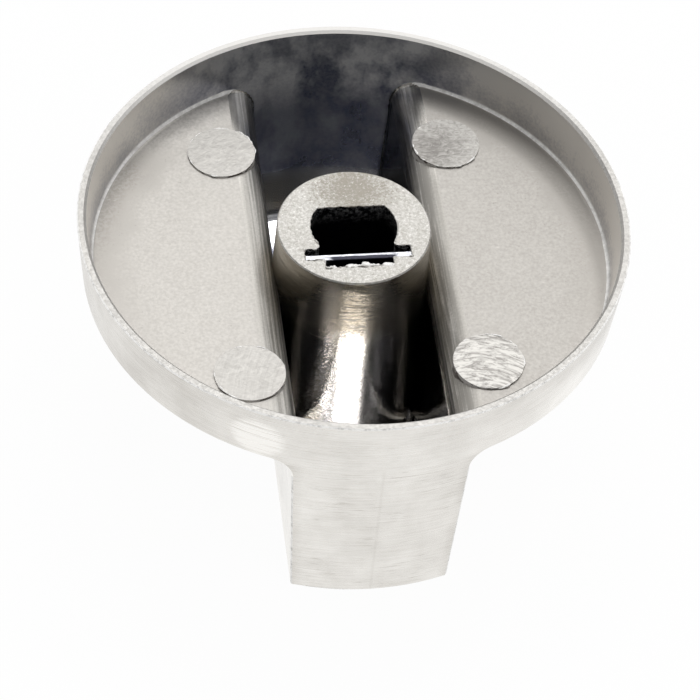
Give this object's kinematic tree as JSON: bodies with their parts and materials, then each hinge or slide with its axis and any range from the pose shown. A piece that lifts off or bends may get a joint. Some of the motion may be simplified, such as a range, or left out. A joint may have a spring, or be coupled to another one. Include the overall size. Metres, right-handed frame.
{
  "type": "oven control knob",
  "caption": "Round oven control knob: shallow open-backed skirt, hollow bar grip across its front, and a boss with a D-shaped stem socket and a flat spring.",
  "frame": {"origin": "middle of the grip's front face, on the axis that the knob turns on", "axes": "+Z along the turning axis, out of the open back towards the panel; the grip runs along Y, and the flat of the stem socket is on the +Y side"},
  "size_m": [0.052, 0.052, 0.0249],
  "materials": {
    "satin_casting": "satin nickel over a die casting: brushed round the outside, cast grain inside",
    "spring_steel": "bright rolled spring steel"
  },
  "bodies": {
    "root": {"knob_body": "satin_casting", "spring_clip": "spring_steel"}
  },
  "joints": []
}
